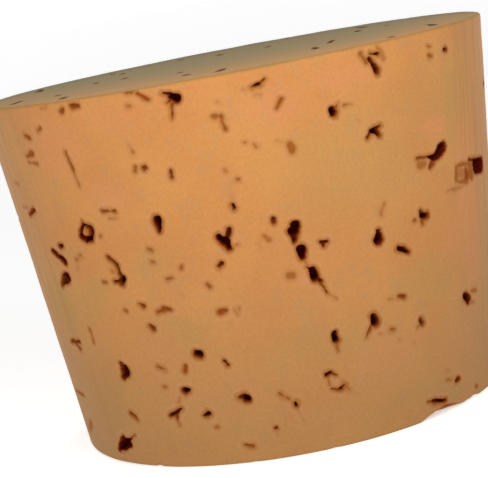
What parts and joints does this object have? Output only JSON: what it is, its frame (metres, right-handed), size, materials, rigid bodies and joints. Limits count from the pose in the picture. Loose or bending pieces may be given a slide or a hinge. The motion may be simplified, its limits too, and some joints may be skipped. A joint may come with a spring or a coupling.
{
  "type": "cork stopper",
  "caption": "Tapered natural cork stopper, wider than it is long, with open pores, softened rims and a small chip in its narrow rim.",
  "frame": {"origin": "centre of the narrow end, on which the stopper stands", "axes": "+Z along the stopper's axis to its wide end, -Y to the side with the most open pores"},
  "size_m": [0.054, 0.054, 0.0381],
  "materials": {
    "cork": "ground natural cork, matt, with dark open pores and fine streaks of growth"
  },
  "bodies": {
    "root": {"stopper": "cork"}
  },
  "joints": []
}
